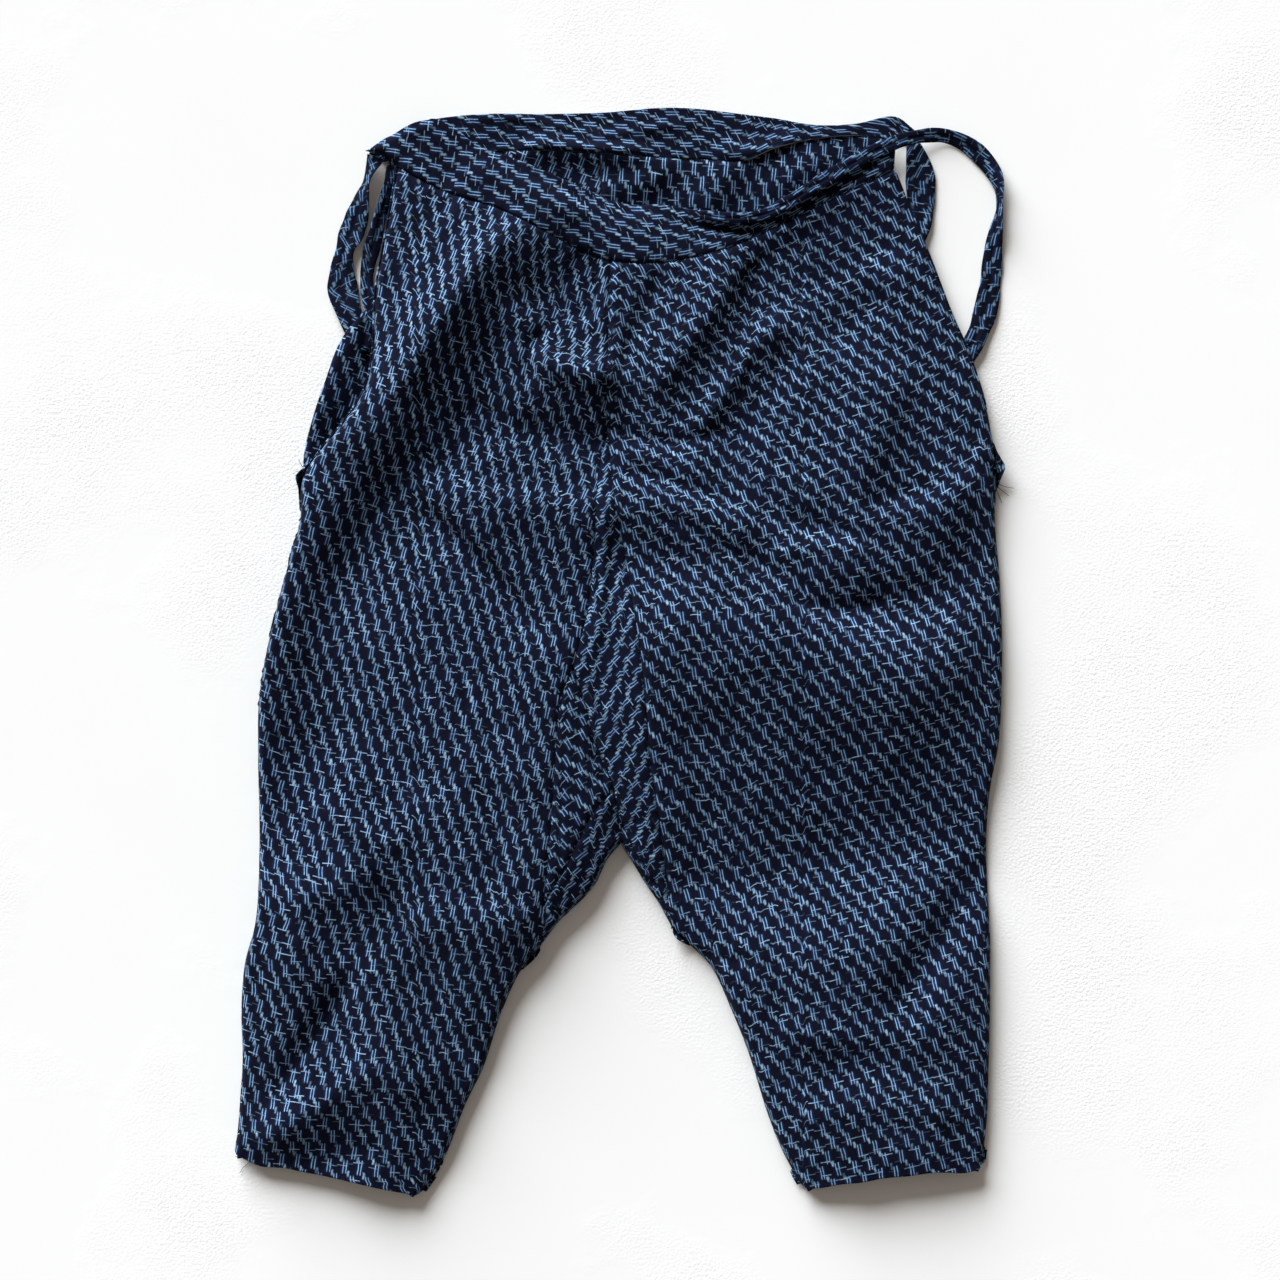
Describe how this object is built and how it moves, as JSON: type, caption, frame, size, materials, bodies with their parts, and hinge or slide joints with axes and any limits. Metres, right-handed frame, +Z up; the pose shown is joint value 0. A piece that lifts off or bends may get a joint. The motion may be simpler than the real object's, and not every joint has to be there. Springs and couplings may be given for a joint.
{
  "type": "child's work trousers laid flat",
  "caption": "Child's loose trousers in patterned cotton, laid flat: thin cloth legs over a flat back, a pointed crotch gusset, side slits, waistbands and ties.",
  "frame": {"origin": "centre of the garment's plan, on the surface that it lies on", "axes": "+X to the wearer's left, +Y up to the waist, +Z up from the surface, out of the garment's front"},
  "size_m": [0.3186, 0.4494, 0.0132],
  "materials": {
    "body_cotton": "matte indigo cotton with small pale woven dashes",
    "band_cotton": "the same cotton, turned by a quarter",
    "tie_cotton": "the same cotton, cut in narrow strips"
  },
  "bodies": {
    "root": {"front_leg_right": "body_cotton", "front_leg_left": "body_cotton", "front_gusset_left": "body_cotton", "front_gusset_right": "body_cotton", "back_leg_right": "body_cotton", "back_leg_left": "body_cotton", "back_gusset_right": "body_cotton", "back_gusset_left": "body_cotton", "front_waistband": "band_cotton", "back_waistband": "band_cotton", "tie_front_right": "tie_cotton", "tie_front_left": "tie_cotton", "tie_back_right": "tie_cotton", "tie_back_left": "tie_cotton"}
  },
  "joints": []
}
